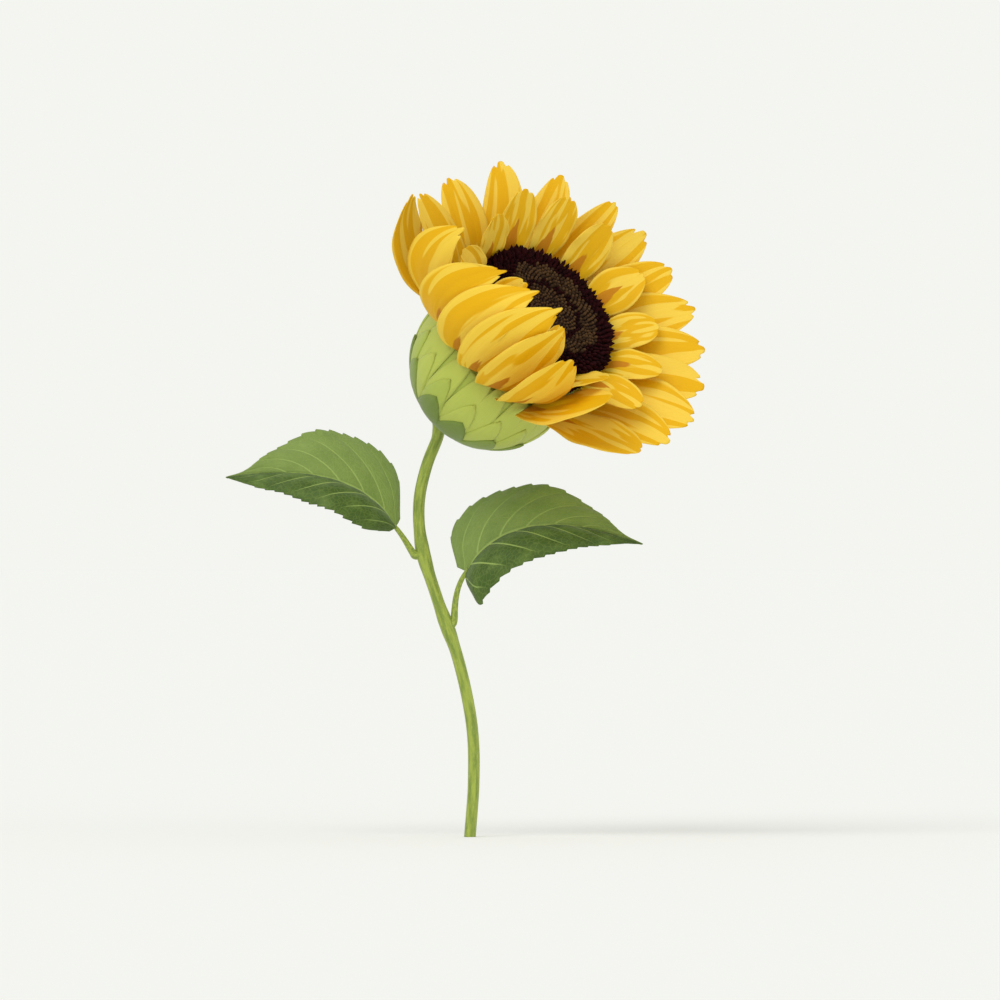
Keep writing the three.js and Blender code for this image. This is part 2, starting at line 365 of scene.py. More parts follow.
# %% Lay out a petal's sheet
PETAL_ROWS, PETAL_COLUMNS = 44, 19
GROOVE_AT, GROOVE_WIDTH, GROOVE_DEPTH = 0.36, 0.13, 0.7 * MM
CREASE_WIDTH, CREASE_DEPTH = 0.08, 0.35 * MM
EDGE_CURL, RIPPLE = 0.03, 0.7 * MM
TOOTH_DEPTH, TIP_ROUND = 0.05, 0.11
BENT_POINT = 0.9  # how pointed a petal is that bends right over the disc


def petal_sheet(line, across, upper, half):
    """The petal's points on a grid.

    v runs to 1, less at the edges for a rounded tip and less again at two notches. A petal that bends
    far over the disc has a longer point. Across is the way across turned by a slight twist. Up is an
    edge curl that grows with u squared, two grooves, a fine crease in the middle, and ripples near the
    edges.
    """
    along = unit(np.gradient(line, axis=0))
    point = BENT_POINT * ease(0.5, -0.3, along[0] @ along[-1])
    notch, twist, phase, waves = chance.uniform([0.24, -0.14, 0, 1.6], [0.44, 0.14, 6.28, 2.6])
    deep = chance.uniform(0.4, 1.2) * TOOTH_DEPTH
    v, u = np.meshgrid(np.linspace(0, 1, PETAL_ROWS), np.linspace(-1, 1, PETAL_COLUMNS), indexing="ij")
    teeth = deep * (np.exp(-((u - notch) / 0.11) ** 2) + 0.7 * np.exp(-((u + notch) / 0.13) ** 2))
    v_used = v * (1.02 - (TIP_ROUND + 0.05 * point) * np.abs(u) ** (2 - 0.6 * point) - teeth)
    at = (v_used * (len(line) - 1)).ravel()
    centre, way, lift_way = (smooth(rows, at).reshape(*v.shape, 3) for rows in (line, across, upper))
    way, lift_way = unit(way), unit(lift_way)
    wide = half * petal_outline(v, point) * (1 + 0.05 * np.sin(5 * v + phase))
    turn = twist * (v - 0.2) * 2.4
    curl = EDGE_CURL * (0.4 + v) * u ** 2 * wide
    grooves = -GROOVE_DEPTH * np.exp(-((np.abs(u) - GROOVE_AT) / GROOVE_WIDTH) ** 2)
    crease = -CREASE_DEPTH * np.exp(-(u / CREASE_WIDTH) ** 2)
    ripple = RIPPLE * np.abs(u) ** 2.5 * np.sin(2 * np.pi * waves * v + phase + 1.4 * np.sign(u))
    rise = curl + (grooves + crease + ripple) * np.sin(np.pi * np.clip(v, 0, 0.97)) ** 0.6
    span = (u * wide)[..., None]
    turned_way = way * np.cos(turn)[..., None] + lift_way * np.sin(turn)[..., None]
    return centre + turned_way * span + lift_way * rise[..., None]


# %% [markdown]
# ## The petals' finish
# The rays are golden yellow, with an orange flush at the foot that is strong on the inner whorl. Lighter
# yellow in broad bands along them and a paler edge are painted highlight, standing for light on the folds and
# the curled edges. The bands are noise drawn out along the petal. Each petal carries two plain numbers as
# attributes: tone picks its part of the noise, and flush says how much orange it has. Fine lengthwise lines
# are relief only.

# %% Petal finishes
# the light yellows are painted highlight, standing for light on the petals' folds and curled edges
GOLD = screen_colour(232, 176, 0)
HIGHLIGHT_YELLOW = screen_colour(244, 206, 68)
ORANGE = screen_colour(200, 128, 8)
BACK_HIGHLIGHT_YELLOW = screen_colour(242, 204, 72)


def petal_finish(name, gold, light, highlight_share):
    """Gold with light yellow bands and a paler edge as painted highlight, an orange flush in the middle of
    the foot, fine lines as relief.
    """
    material, tree, shader = finish(name, roughness=0.6)
    shader.inputs["Specular IOR Level"].default_value = 0.2
    across, along = across_and_along(tree)
    tone = add(tree, "Attribute", {}, attribute_name="tone").outputs["Fac"]
    flush = add(tree, "Attribute", {}, attribute_name="flush").outputs["Fac"]
    shifted = add(tree, "CombineXYZ", {0: calc(tree, "MULTIPLY", across, 3.4),
                                       1: calc(tree, "MULTIPLY", along, 0.9),
                                       2: calc(tree, "MULTIPLY", tone, 9.0)}).outputs[0]
    # lighter bands along the petal: painted highlight for light on its folds
    bands = step_up(tree, speckle(tree, shifted, 1.5, 1.0), 0.53 - highlight_share, 0.57 - highlight_share)
    off_middle = calc(tree, "ABSOLUTE", calc(tree, "SUBTRACT", across, 0.5))
    # a paler edge: painted highlight on the curled edge
    edge = step_up(tree, calc(tree, "ADD", off_middle, calc(tree, "MULTIPLY", along, 0.05)), 0.44, 0.5)
    body = tint(tree, calc(tree, "MAXIMUM", bands, edge), gold, light)
    wander = speckle(tree, shifted, 2.2, 2.0)
    tongue = calc(tree, "SUBTRACT", calc(tree, "ADD", along, calc(tree, "MULTIPLY", off_middle, 1.6)),
                  calc(tree, "MULTIPLY", wander, 0.42))
    reach = calc(tree, "MULTIPLY", flush, 0.42)
    orange = step_up(tree, calc(tree, "SUBTRACT", reach, tongue), 0.0, 0.06)
    colour = tint(tree, orange, body, ORANGE)
    lines = speckle(tree, place(tree, 46, 1.5), 1.0, 2.0)
    shade = tint(tree, calc(tree, "MULTIPLY", step_up(tree, lines, 0.4, 0.7), 0.12), colour, gold)
    tree.links.new(shade, shader.inputs["Base Color"])
    relief(tree, shader, lines, 0.35 * MM)
    return material


petal_front = petal_finish("ray petal, upper side", GOLD, HIGHLIGHT_YELLOW, highlight_share=0.07)
petal_back = petal_finish(
    "ray petal, under side", screen_colour(230, 176, 2), BACK_HIGHLIGHT_YELLOW, highlight_share=0.03)

# %% Make both whorls
FULLNESS = 1.1  # sheets are a little wider than the solids
TYPICAL_SHARE = 0.4  # how far a narrow petal is eased towards the usual width
PETAL_THICKNESS = 0.5 * MM


def make_whorl(word, flush):
    """One piece for each petal of a whorl, its width eased towards the whorl's usual width."""
    names = sorted(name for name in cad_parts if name.startswith(f"ray_{word}_"))
    frames = [petal_frame(name) for name in names]
    usual = np.percentile([half for *_, half in frames], 75)
    for name, (line, across, upper, half) in zip(names, frames):
        wide = FULLNESS * (half + TYPICAL_SHARE * max(usual - half, 0))
        sheet = petal_sheet(line, across, upper, wide)
        piece = make_piece(name.replace("ray", "petal"), sheet[None], [petal_front, petal_back],
                           thickness=PETAL_THICKNESS, stands_for=[name])
        own = {"tone": chance.uniform(0, 1), "flush": flush * chance.uniform(0.6, 1.15)}
        for label, value in own.items():
            layer = piece.data.attributes.new(label, "FLOAT", "POINT")
            layer.data.foreach_set("value", np.full(len(piece.data.vertices), value, np.float32))
    print(word, "petals:", len(names), "usual width mm", round(2 * usual / MM, 1))


make_whorl("outer", flush=0.45)
make_whorl("inner", flush=1.0)

# %% [markdown]
# ## The seed disc
# The middle of a sunflower is hundreds of small florets in a spiral: each sits 137.5 degrees on from the one
# before and a little further out, so that they pack evenly. The outer ones are open, dark maroon and pointed;
# further in they are brown, with a thin ring of maroon, then short brown buds. The body below is a turned
# surface on the solid's own profile, and the florets are small spikes of a few faces, joined, whose colours
# are dealt out floret by floret.

# %% Plain finishes for the disc
def plain_grain(name, colour, other, scale):
    """Two close colours mixed by fine noise on the piece's own place, with matching relief."""
    material, tree, shader = finish(name, roughness=0.9)
    shader.inputs["Specular IOR Level"].default_value = 0.1
    spot = add(tree, "TexCoord", {}).outputs["Object"]
    grain = speckle(tree, spot, scale)
    tree.links.new(tint(tree, grain, colour, other), shader.inputs["Base Color"])
    relief(tree, shader, grain, 0.4 * MM)
    return material


MAROON = screen_colour(46, 6, 9)
DARK_MAROON = screen_colour(32, 3, 6)
BROWN = screen_colour(96, 70, 42)
DARK_BROWN = screen_colour(70, 50, 32)
floret_finishes = [
    plain_grain("floret, maroon", MAROON, DARK_MAROON, 900),
    plain_grain("floret, dark maroon", DARK_MAROON, screen_colour(24, 2, 5), 900),
    plain_grain("floret, brown", BROWN, DARK_BROWN, 900),
    plain_grain("floret, dark brown", DARK_BROWN, screen_colour(52, 36, 24), 900),
]
disc_ground = plain_grain("disc ground", screen_colour(40, 22, 16), screen_colour(28, 10, 9), 500)

# %% The disc's body
DISC_SIDES, DISC_ROWS = 96, 60
POLE = 0.02 * MM  # radius of the small ring that stands for a turned surface's middle
rows_at = np.linspace(0, len(disc_reach) - 1, DISC_ROWS)
profile = smooth(np.stack([disc_reach, disc_height - rim_height], -1), rows_at)
clock = np.linspace(0, 2 * np.pi, DISC_SIDES, endpoint=False)
body = bloom_point(np.maximum(profile[:, :1], POLE), clock[None], profile[:, 1:])
make_piece("disc_body", body[None, :, ::-1], [disc_ground], around=True, stands_for=["disc"])

# %% The florets
FLORETS = 1150
GOLDEN_TURN = np.radians(137.508)
FLORET_SIDES = 6
MAROON_FROM, MAROON_RING = 0.72, (0.40, 0.47)  # shares of the disc's radius
DARKER_SHARE = 0.4  # how many florets have the darker of their two finishes
NEAR_CLOCK = np.radians(205)  # the side where inner petals stand over the disc
NEAR_UPRIGHT, NEAR_SHORTER = 0.9, 0.5  # how far florets straighten and shorten there
number = np.arange(FLORETS) + 0.5
share = np.sqrt(number / FLORETS)
floret_clock = number * GOLDEN_TURN
floret_reach = disc_radius * share
disc_rim = int(np.argmax(disc_reach))
front = slice(0, disc_rim + 1)
floret_height = np.interp(floret_reach, disc_reach[front], disc_height[front] - rim_height)


def floret_profile(share):
    """Length, foot radius and outward lean of each floret, by its place from the middle to the edge."""
    outer = ease(0.70, 0.9, share)
    length = (2.2 + 1.0 * ease(0.35, 0.5, share) + 4.2 * outer) * MM
    radius = (1.0 + 0.35 * share + 0.25 * outer) * MM
    return length, radius, 0.15 + 0.75 * outer


def spikes(foot, axis, length, radius, sides, waist):
    """Closed spikes of one grid each: a foot, a waist, a shoulder and a tip, turned about an axis."""
    side = unit(np.cross(axis, unit(forward + 0.3 * up + 0.2 * right)))
    other = np.cross(axis, side)
    angle = np.linspace(0, 2 * np.pi, sides, endpoint=False)
    levels = np.array([-0.2, 0.3, 0.7, 1.0])
    widths = np.array([0.9, waist, 1.0, 0.06])
    turn = (np.cos(angle)[:, None] * side[:, None] + np.sin(angle)[:, None] * other[:, None])
    return (foot[:, None, None] + axis[:, None, None] * (levels * length[:, None])[..., None, None]
            + turn[:, None] * (widths * radius[:, None])[..., None, None])


length, radius, lean = floret_profile(share)
length = length * chance.uniform(0.75, 1.25, FLORETS)
near_side = ease(0.45, 0.75, np.cos(floret_clock - NEAR_CLOCK)) * ease(0.8, 0.9, share)
lean = lean * (1 - NEAR_UPRIGHT * near_side)
length = length * (1 - NEAR_SHORTER * near_side)
outward = outward_at(floret_clock)
jitter = chance.normal(0, 0.12, (FLORETS, 3))
axis = unit(forward + outward * lean[:, None] + jitter)
foot = bloom_point(floret_reach, floret_clock, floret_height)
grids = spikes(foot, axis, length, radius, FLORET_SIDES, waist=0.75)
ring_noise = share + 0.02 * np.sin(9 * floret_clock) + chance.normal(0, 0.015, FLORETS)
maroon = (ring_noise > MAROON_FROM) | ((ring_noise > MAROON_RING[0]) & (ring_noise < MAROON_RING[1]))
deal = np.where(maroon, 0, 2) + (chance.uniform(0, 1, FLORETS) < DARKER_SHARE)
make_piece("disc_florets", grids[:, :, ::-1], floret_finishes, around=True, deal=deal)
print("florets:", FLORETS, "maroon:", int(maroon.sum()))

# %% [markdown]
# ## The cup
# The green cup holds the head. On a real head it is a smooth swelling covered by pointed bracts in two or
# three rows, which hug it and reach past its rim at the foot of the petals. The body is turned on the solid's
# profile. Each bract is a sheet bent over the same profile: a formula gives its half width, narrowing to a
# point, and it stands further off towards its tip. The lowest row, by the stem, is darker green: partly the
# bracts' own colour and partly painted shade on the cup's underside.

# %% Cup finishes
LIGHT_GREEN = screen_colour(186, 197, 84)
MID_GREEN = screen_colour(160, 176, 70)
DARK_GREEN = screen_colour(119, 140, 54)


def bract_finish(name, colour, other):
    """Two close greens, mottled and in fine lines along the bract, with the same pattern as relief."""
    material, tree, shader = finish(name, roughness=0.6, sheen=0.15)
    across, _ = across_and_along(tree)
    lines = speckle(tree, place(tree, 30, 3), 1.0, 2.0)
    mottled = speckle(tree, add(tree, "TexCoord", {}).outputs["Object"], 60)
    shade = tint(tree, calc(tree, "MULTIPLY", mottled, lines), colour, other)
    tree.links.new(shade, shader.inputs["Base Color"])
    relief(tree, shader, calc(tree, "ADD", lines, mottled), 0.4 * MM)
    return material


bract_light = bract_finish("bract, light green", LIGHT_GREEN, MID_GREEN)
bract_green = bract_finish("bract, deep green", screen_colour(132, 153, 60), DARK_GREEN)
bract_mid = bract_finish("bract, green", screen_colour(172, 187, 76), MID_GREEN)
# darker green for the lowest row: partly the bracts' own colour, partly painted shade under the cup
bract_dark_and_painted_shade = bract_finish("bract, dark green", DARK_GREEN, screen_colour(96, 120, 42))

# %% The cup's body
cup_start = cap_middles(cup_edges)[np.argmin(cup_points[cap_middles(cup_edges)] @ forward)]
cup_reach, cup_height = turned_profile(cup_points, cup_edges, cup_start)
cup_height = cup_height - rim_height
CUP_SIDES, ARC_ROWS = 96, 60
cup_lines = np.stack([cup_reach, cup_height], -1)
cup_rim = int(np.argmax(cup_height))
outer_arc = smooth(cup_lines[:cup_rim + 1], np.linspace(0, cup_rim, ARC_ROWS))
clock = np.linspace(0, 2 * np.pi, CUP_SIDES, endpoint=False)
cup_all = np.concatenate([outer_arc, cup_lines[cup_rim + 1:]])
cup_all[:, 0] = np.maximum(cup_all[:, 0], POLE)
body = bloom_point(cup_all[:, :1], clock[None], cup_all[:, 1:])
make_piece("cup_body", body[None], [bract_mid], around=True, stands_for=["cup"])


# %% Bracts over the cup
BRACT_ROWS, BRACT_COLUMNS = 16, 9
BRACT_THICKNESS = 0.8 * MM
SECOND_SHARE = 0.25  # how many bracts of a row have its second finish


def bracts(count, low, high, half_width, stand_off, turn):
    """A row of bracts on the cup's outer arc, from share low to share high of the arc.

    Half width narrows to a point with v, in metres across, so each keeps its width round the cup.
    It stands off the cup more towards the tip, and less at its edges, which are tucked in.
    """
    v, u = np.meshgrid(
        np.linspace(0, 1, BRACT_ROWS), np.linspace(-1, 1, BRACT_COLUMNS), indexing="ij")
    at = (low + (high - low) * v) * (len(outer_arc) - 1)
    spot = smooth(outer_arc, at.ravel()).reshape(*v.shape, 2)
    slope = unit(smooth(np.gradient(outer_arc, axis=0), at.ravel()).reshape(*v.shape, 2))
    off = stand_off * (0.25 + v ** 1.5) * (1 - 0.45 * u ** 2) + 0.5 * MM
    reach = spot[..., 0] + off * slope[..., 1]
    height = spot[..., 1] - off * slope[..., 0]
    wide = half_width * (1 - v ** 2.2) ** 0.7 * (0.8 + 0.6 * v)
    clocks = np.arange(count) * 2 * np.pi / count + turn + chance.normal(0, 0.03, count)
    angle = clocks[:, None, None] + (u * wide / np.maximum(spot[..., 0], 4 * MM))[None]
    return bloom_point(reach[None], angle, height[None])


# name, count, start and end along the arc, half width, stand-off, turn, first and second finish
rows_of_bracts = [
    ("cup_bracts_upper", 21, 0.45, 1.1, 11 * MM, 0.4 * MM, 0.1, [bract_light, bract_mid]),
    ("cup_bracts_middle", 16, 0.2, 0.86, 12 * MM, 1.2 * MM, 0.3, [bract_light, bract_mid]),
    ("cup_bracts_lower", 13, 0.04, 0.69, 15 * MM, 2.0 * MM, 0.0, [bract_dark_and_painted_shade, bract_green]),
]
for name, count, low, high, wide, off, turn, finishes in rows_of_bracts:
    grids = bracts(count, low, high, wide, off, turn)
    deal = chance.uniform(0, 1, count) < SECOND_SHARE
    make_piece(name, grids, finishes, deal=deal, thickness=BRACT_THICKNESS)
print("bract rows:", len(rows_of_bracts))

# %% [markdown]
# ## Scales round the disc's side
# The disc is thick, and its side shows between the two whorls. On a real head that side is packed with
# scales that point up and outwards, dark by the florets and green by the cup. They are the same small
# spikes, set out in rings that step half a scale sideways from one ring to the next.

# %% Scales round the disc's side
SCALE_RINGS, SCALES_ROUND = 10, 84
GREEN_RINGS = 4  # the rings nearest the cup
FIRST_RING, SIDE_DEPTH = 1.5 * MM, 38.5 * MM
SCALE_RADIUS = 2.1 * MM
ring, slot_number = np.meshgrid(np.arange(SCALE_RINGS), np.arange(SCALES_ROUND), indexing="ij")
scale_clock = ((slot_number + 0.5 * (ring % 2)) * 2 * np.pi / SCALES_ROUND).ravel()
scale_height = -(FIRST_RING + SIDE_DEPTH * ring.ravel() / (SCALE_RINGS - 1))
behind = slice(disc_rim, None)
side_reach = np.interp(-scale_height, rim_height - disc_height[behind], disc_reach[behind])
outward = outward_at(scale_clock)
axis = unit(outward + 0.9 * forward + chance.normal(0, 0.08, (len(scale_clock), 3)))
foot = bloom_point(side_reach, scale_clock, scale_height)
scale_length = chance.uniform(4.5, 6.5, len(scale_clock)) * MM
scale_radius = np.full(len(scale_clock), SCALE_RADIUS)
grids = spikes(foot, axis, scale_length, scale_radius, FLORET_SIDES, waist=1.0)
dark = ring.ravel() < SCALE_RINGS - GREEN_RINGS
deal = chance.integers(0, 2, len(scale_clock)) + np.where(dark, 0, 2)
scale_finishes = [*floret_finishes[:2], bract_mid, bract_green]
make_piece("disc_scales", grids[:, :, ::-1], scale_finishes, around=True, deal=deal)
print("scales:", len(scale_clock))

# %% [markdown]
# ## Stem and stalks
# The stem is a ribbed green shoot, a little thicker where a leaf stalk leaves it and where it meets the cup.
# Its solid gives a ring at each step: the ring's middle is on the path, and its mean distance the radius.
# The skin is a tube on that path with shallow ribs. The stalks are the same, and run on a little at each
# end so that they grow out of the stem and into the midrib.

# %% Stem finish
STEM_GREEN = screen_colour(158, 174, 70)
STEM_LIGHT = screen_colour(188, 198, 88)
STEM_DARK = screen_colour(120, 141, 55)


def stem_finish():
    """Light and dark green in long streaks, with fine ribs and pits as relief."""
    material, tree, shader = finish("stem skin", roughness=0.55, sheen=0.12)
    streaks = speckle(tree, place(tree, 8, 14), 1.0, 3.0)
    fine = speckle(tree, place(tree, 60, 90), 1.0, 3.0)
    light = tint(tree, step_up(tree, streaks, 0.35, 0.62), STEM_DARK, STEM_GREEN)
    colour = tint(tree, calc(tree, "MULTIPLY", step_up(tree, fine, 0.5, 0.75), 0.5), light, STEM_LIGHT)
    tree.links.new(colour, shader.inputs["Base Color"])
    relief(tree, shader, fine, 0.35 * MM)
    return material


stem_skin = stem_finish()


# %% Read a limb's path
def limb_path(node):
    """The middle and radius of each ring of a limb, from its lower end, without the two cap middles."""
    points, edges = corners_and_edges(node)
    caps = cap_middles(edges)
    start = caps[np.argmin(points[caps, 2])]
    body_rings = np.array(rings(points, edges, [start])[1:-1])
    middle = body_rings.mean(axis=1)
    return middle, np.linalg.norm(body_rings - middle[:, None], axis=2).mean(axis=1)


def closed_tube(path, radius, sides, ridges, ridge_count):
    """A ribbed tube with its two ends drawn in to their middles."""
    tube = carry(path, radius, sides, ridges, ridge_count)
    ends = path[[0, -1], None] + 0.01 * (tube[[0, -1]] - path[[0, -1], None])
    return np.concatenate([ends[:1], tube, ends[1:]])


# %% The stem
STEM_SIDES, STEM_ROWS = 40, 420
RIBS, RIB_DEPTH = 10, 0.035
SKIN = 1.02  # the skin lies just outside the solid
NODE_SWELLING, NODE_LENGTH = 0.22, 9 * MM  # where a stalk leaves the stem
middle, radius = limb_path("stem")
at = np.linspace(0, len(middle) - 1, STEM_ROWS)
stem_path = smooth(middle, at)
stem_radius = smooth(radius, at)
stalk_feet = [limb_path(f"leaf_stalk_{word}")[0][0] for word in ("left", "right")]
for stalk_foot in stalk_feet:
    away = np.linalg.norm(stem_path - stalk_foot, axis=1)
    swelling = np.exp(-(away - away.min()) ** 2 / NODE_LENGTH ** 2)
    stem_radius = stem_radius * (1 + NODE_SWELLING * swelling)
stem_grid = closed_tube(stem_path, stem_radius * SKIN, STEM_SIDES, RIB_DEPTH, RIBS)
stem_grid[..., 2] = np.maximum(stem_grid[..., 2], 0)
stem_grid[:2, :, 2] = 0
make_piece("stem_skin", stem_grid[None], [stem_skin], around=True, stands_for=["stem"])
print("stem thickness mm", round(2 * stem_radius[STEM_ROWS // 2] / MM, 1))

# %% The stalks
STALK_SIDES, STALK_ROWS = 20, 90
STALK_RIBS, STALK_RIB_DEPTH = 5, 0.05
INTO_LEAF = 3 * MM
stalk_tips = {}
for word in ("left", "right"):
    middle, radius = limb_path(f"leaf_stalk_{word}")
    into_stem = stem_path[np.argmin(np.linalg.norm(stem_path - middle[0], axis=1))]
    onward = middle[-1] + unit(middle[-1] - middle[-2]) * INTO_LEAF
    middle = np.concatenate([[into_stem], middle, [onward]])
    radius = np.concatenate([radius[:1] * 1.1, radius, radius[-1:] * 0.8])
    at = np.linspace(0, len(middle) - 1, STALK_ROWS)
    tube = closed_tube(smooth(middle, at), smooth(radius, at), STALK_SIDES, STALK_RIB_DEPTH, STALK_RIBS)
    make_piece(f"stalk_{word}", tube[None], [stem_skin], around=True,
               stands_for=[f"leaf_stalk_{word}"])
    stalk_tips[word] = middle[-2]

# %% [markdown]
# ## Leaf blades
# A sunflower leaf is heart-shaped with a toothed edge, a strong midrib and side veins that curve forwards.
# The blade puffs up between its veins. The solid's rings, walked from the tip, give a coarse grid of its
# middle surface, whose columns run from the back edge over the midrib to the front edge. The fine sheet is
# that grid made smooth, each half on its own so that the fold at the midrib stays, with teeth and relief.

# %% Read a leaf's middle surface
LEAF_RING = 14


def leaf_grid(node, stalk_tip):
    """Rows from foot to tip and columns from back edge to front edge, on the blade's middle surface."""
    points, edges = corners_and_edges(node)
    tip = points[np.argmax(np.linalg.norm(points - stalk_tip, axis=1))]
    first = np.argsort(np.linalg.norm(points - tip, axis=1))[:LEAF_RING]
    ring = np.array(rings(points, edges, first))[::-1]
    middle = ring.mean(axis=1, keepdims=True)
    across = np.linalg.svd(ring - middle)[2][:, 0]
    across *= np.where(across @ [0, -1, -0.4] < 0, -1, 1)[:, None]
    sorting = np.argsort(np.einsum("rpk,rk->rp", ring - middle, across), axis=1)
    ring = np.take_along_axis(ring, sorting[..., None], axis=1)
    grid = ring.reshape(len(ring), LEAF_RING // 2, 2, 3).mean(axis=2)
    grid[-1] = grid[-1].mean(axis=0)
    return grid


# %% Lay out a leaf's sheet
LEAF_ROWS, LEAF_COLUMNS = 150, 91
SIDE_VEINS = 7
VEIN_SWEEP, VEIN_CURVE = 0.3, 1.15
VEIN_STAGGER = 0.03  # left and right veins leave the midrib a little apart
TEETH = 17
PUFF_HEIGHT, MIDRIB_DEPTH, WAVE_HEIGHT = 1.5 * MM, 0.9 * MM, 1.4 * MM


def vein_phase(u, v):
    """Whole numbers along the side veins, which leave the midrib and curve forwards to the edge."""
    return (v - VEIN_SWEEP * np.abs(u) ** VEIN_CURVE + VEIN_STAGGER * np.sign(u)) * SIDE_VEINS + 0.5


def leaf_sheet(grid):
    """The blade's points: the smooth grid, with forward-pointing teeth and veins sunk between puffs."""
    v, u = np.meshgrid(np.linspace(0, 1, LEAF_ROWS), np.linspace(-1, 1, LEAF_COLUMNS), indexing="ij")
    saw = (v * TEETH + 0.35 * np.sin(9 * v + 2 * np.sign(u))) % 1
    tooth = (0.05 * saw - 0.03) * ease(0.0, 0.1, v) * ease(1.0, 0.8, v)
    reach = u * (1 + tooth * np.abs(u) ** 5)
    rows = smooth(grid, v[:, 0] * (len(grid) - 1))
    middle_column = grid.shape[1] // 2
    halves = []
    for side in (-1, 1):
        columns = rows[:, middle_column::side].transpose(1, 0, 2)
        at = np.clip(reach * side, 0, None) * middle_column
        i = np.clip(np.floor(at).astype(int), 0, middle_column - 1)
        t = (at - i)[..., None]
        longer = run_on(columns)
        line = np.arange(LEAF_ROWS)[:, None]
        halves.append(cubic(*(longer[i + k, line] for k in range(4)), t))
    sheet = np.where((u < 0)[..., None], halves[0], halves[1])
    normal = unit(np.cross(np.gradient(sheet, axis=0), np.gradient(sheet, axis=1)))
    puff = np.abs(np.sin(np.pi * vein_phase(u, v))) ** 0.6
    fade = np.sin(np.pi * np.clip(np.abs(u), 0, 1)) ** 0.5 * np.sin(np.pi * np.clip(v, 0.02, 0.98)) ** 0.7
    wave = np.sin(2 * np.pi * (3.2 * v + 0.2 * u)) * np.abs(u) ** 3 * ease(0, 0.3, v) * ease(1, 0.8, v)
    rise = PUFF_HEIGHT * puff * fade - MIDRIB_DEPTH * np.exp(-(u / 0.035) ** 2) + WAVE_HEIGHT * wave
    return sheet, normal, rise


# %% [markdown]
# ## The leaves' finish
# The upper side is a mid green, mottled, with light veins; the half that droops towards the front is a darker
# green, which is painted shade on that half. The under side is paler and duller, its front half a little
# darker as painted shade too. Vein lines use the same rule as the relief, so colour and shape fall together:
# the distance to the nearest whole number of the vein phase.

# %% Leaf finishes
LEAF_LIGHT = screen_colour(126, 149, 70)
LEAF_MID = screen_colour(104, 130, 54)
# painted shade: the darker green of the front half that droops away from the light
LEAF_PAINTED_SHADE = screen_colour(62, 88, 16)
VEIN_GREEN = screen_colour(158, 181, 95)


def leaf_finish(name, back_half, painted_shade_half, mottle, vein):
    """Mottled green in two halves, the front one darker as painted shade, with light midrib and side veins,
    and a fine net as relief.
    """
    material, tree, shader = finish(name, roughness=0.58, sheen=0.08)
    across, along = across_and_along(tree)
    u = calc(tree, "MULTIPLY", calc(tree, "SUBTRACT", across, 0.5), 2)
    off = calc(tree, "ABSOLUTE", u)
    bend = calc(tree, "MULTIPLY", calc(tree, "POWER", off, VEIN_CURVE), VEIN_SWEEP)
    swept = calc(tree, "SUBTRACT", along, bend)
    swept = calc(tree, "ADD", swept, calc(tree, "MULTIPLY", calc(tree, "SIGN", u), VEIN_STAGGER))
    phase = calc(tree, "FRACT", calc(tree, "MULTIPLY", swept, SIDE_VEINS))
    gap = calc(tree, "ABSOLUTE", calc(tree, "SUBTRACT", phase, 0.5))
    side_vein = step_up(tree, calc(tree, "ADD", gap, calc(tree, "MULTIPLY", off, 0.02)), 0.06, 0.03)
    side_vein = calc(tree, "MULTIPLY", side_vein, step_up(tree, off, 0.95, 0.6))
    midrib = step_up(tree, off, 0.045, 0.025)
    veins = calc(tree, "MAXIMUM", calc(tree, "MULTIPLY", side_vein, 0.85), midrib)
    net = add(tree, "TexVoronoi", {"Vector": place(tree, 26, 40), "Scale": 1.0},
              feature="DISTANCE_TO_EDGE").outputs["Distance"]
    cells = step_up(tree, net, 0.0, 0.12)
    blotch = speckle(tree, place(tree, 5, 7), 1.0, 4.0)
    # the front half is painted a darker green, as shade on that half
    halves = tint(tree, step_up(tree, u, -0.01, 0.03), back_half, painted_shade_half)
    green = tint(tree, calc(tree, "MULTIPLY", step_up(tree, blotch, 0.42, 0.68), 0.45), halves, mottle)
    green = tint(tree, calc(tree, "MULTIPLY", calc(tree, "SUBTRACT", 1.0, cells), 0.13), green, vein)
    tree.links.new(tint(tree, veins, green, vein), shader.inputs["Base Color"])
    relief(tree, shader, calc(tree, "ADD", calc(tree, "MULTIPLY", cells, 0.5), blotch), 0.5 * MM)
    return material


leaf_upper = leaf_finish("leaf, upper side", LEAF_LIGHT, LEAF_PAINTED_SHADE, LEAF_MID, VEIN_GREEN)
# the under side's second, darker green is painted shade on its front half
leaf_under = leaf_finish("leaf, under side", screen_colour(132, 152, 88), screen_colour(122, 143, 80),
                         screen_colour(126, 148, 86), screen_colour(170, 186, 118))

# %% Make the leaves
LEAF_THICKNESS = 0.6 * MM
for word in ("left", "right"):
    sheet, normal, rise = leaf_sheet(leaf_grid(f"leaf_blade_{word}", stalk_tips[word]))
    facing = 1 if normal[LEAF_ROWS // 2, LEAF_COLUMNS // 4, 2] > 0 else -1
    sheet = sheet + normal * (facing * rise)[..., None]
    piece = make_piece(f"blade_{word}", sheet[None], [leaf_upper, leaf_under], thickness=LEAF_THICKNESS,
                       stands_for=[f"leaf_blade_{word}"])
    if facing > 0:
        piece.data.flip_normals()
    print("leaf", word, "facing", facing)

# %% [markdown]
# ## Floor, light and camera
# The plant stands on a plain pale floor under soft studio light: an even pale surround, a wide lamp high
# on the left that models the petals and shades the stem's right side, and a weaker fill lamp from the
# right. The camera is level and far away, with a long lens, so there is almost no perspective.

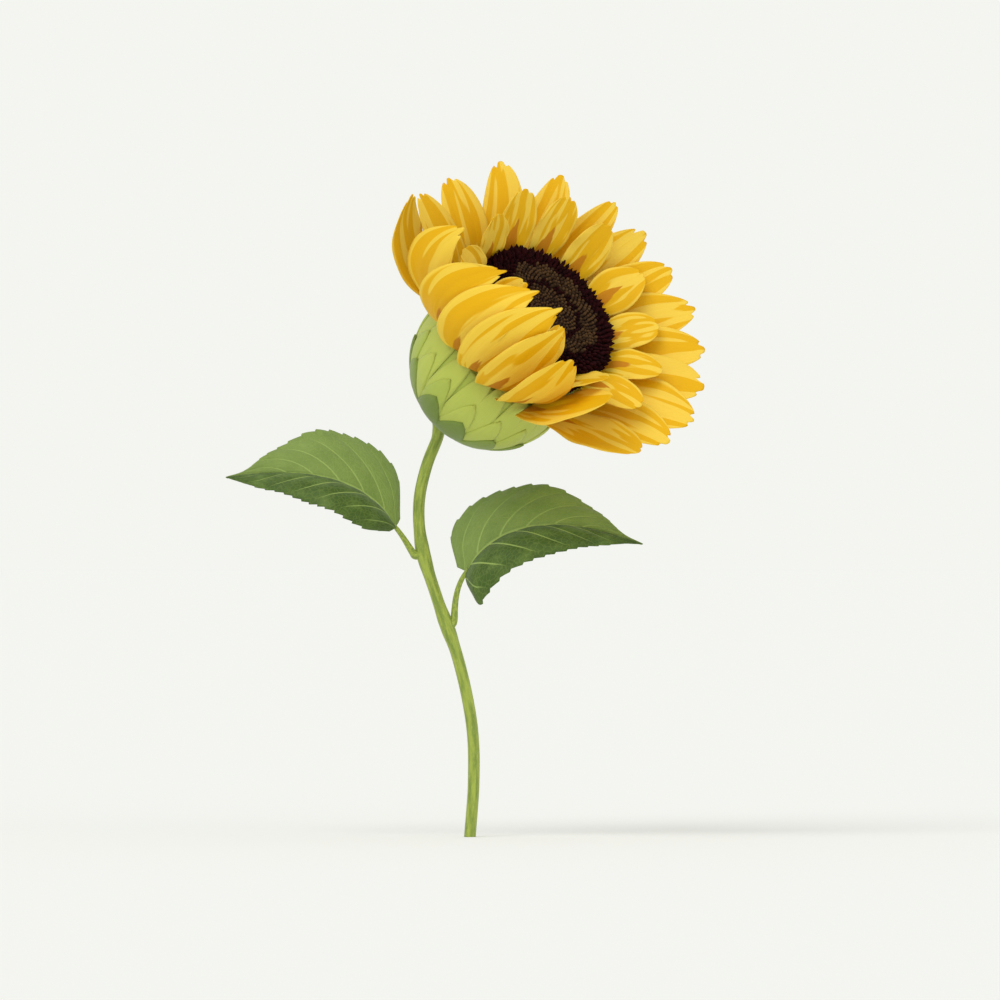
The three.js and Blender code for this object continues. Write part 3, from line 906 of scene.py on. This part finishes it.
# %% Floor
FLOOR_SIZE = 60.0
FLOOR_COLOUR = (0.909, 0.912, 0.899, 1)
floor_mesh = bpy.data.meshes.new("floor")
half = FLOOR_SIZE / 2
floor_mesh.from_pydata([(-half, -half, 0), (half, -half, 0), (half, half, 0), (-half, half, 0)],
                       [], [(0, 1, 2, 3)])
floor = bpy.data.objects.new("floor", floor_mesh)
bpy.context.scene.collection.objects.link(floor)
pale, _, pale_shader = finish("pale floor", roughness=0.95)
pale_shader.inputs["Base Color"].default_value = FLOOR_COLOUR
pale_shader.inputs["Specular IOR Level"].default_value = 0
floor_mesh.materials.append(pale)

# %% Surround and lamps
SURROUND = (0.905, 0.913, 0.871, 1)
SKY_STRENGTH = 0.76
world = bpy.data.worlds.new("surround")
bpy.context.scene.world = world
world.use_nodes = True
sky = world.node_tree.nodes["Background"]
sky.inputs["Color"].default_value = SURROUND
sky.inputs["Strength"].default_value = SKY_STRENGTH
seen = world.node_tree.nodes.new("ShaderNodeBackground")
seen.inputs["Color"].default_value = SURROUND
light_path = world.node_tree.nodes.new("ShaderNodeLightPath")
choose = world.node_tree.nodes.new("ShaderNodeMixShader")
world_out = world.node_tree.nodes["World Output"]
world.node_tree.links.new(light_path.outputs["Is Camera Ray"], choose.inputs[0])
world.node_tree.links.new(sky.outputs[0], choose.inputs[1])
world.node_tree.links.new(seen.outputs[0], choose.inputs[2])
world.node_tree.links.new(choose.outputs[0], world_out.inputs["Surface"])


def lamp(name, strength, spread, toward):
    """A wide soft lamp far away, shining from a direction, with its spread in degrees."""
    light = bpy.data.lights.new(name, "SUN")
    light.energy = strength
    light.angle = np.radians(spread)
    holder = bpy.data.objects.new(name, light)
    holder.rotation_mode = "QUATERNION"
    holder.rotation_quaternion = Vector(toward).to_track_quat("Z", "Y")
    bpy.context.scene.collection.objects.link(holder)


lamp("key lamp", strength=1.1, spread=40, toward=(-0.35, -0.6, 0.75))
lamp("fill lamp", strength=0.5, spread=70, toward=(0.6, -0.75, 0.3))

# %% Camera
FRAME_WIDTH = 0.742  # metres across the picture, at the plant
VIEW_MIDDLE = (0.0223, 0.250)
DISTANCE, FARTHEST = 8.0, 200
SENSOR_WIDTH = 36.0
lens = bpy.data.cameras.new("camera")
lens.sensor_width = SENSOR_WIDTH
lens.lens = lens.sensor_width * DISTANCE / FRAME_WIDTH
lens.clip_end = FARTHEST
camera = bpy.data.objects.new("camera", lens)
camera.location = (VIEW_MIDDLE[0], -DISTANCE, VIEW_MIDDLE[1])
camera.rotation_euler = (np.pi / 2, 0, 0)
bpy.context.scene.collection.objects.link(camera)
bpy.context.scene.camera = camera
bpy.context.scene.view_settings.view_transform = "Standard"
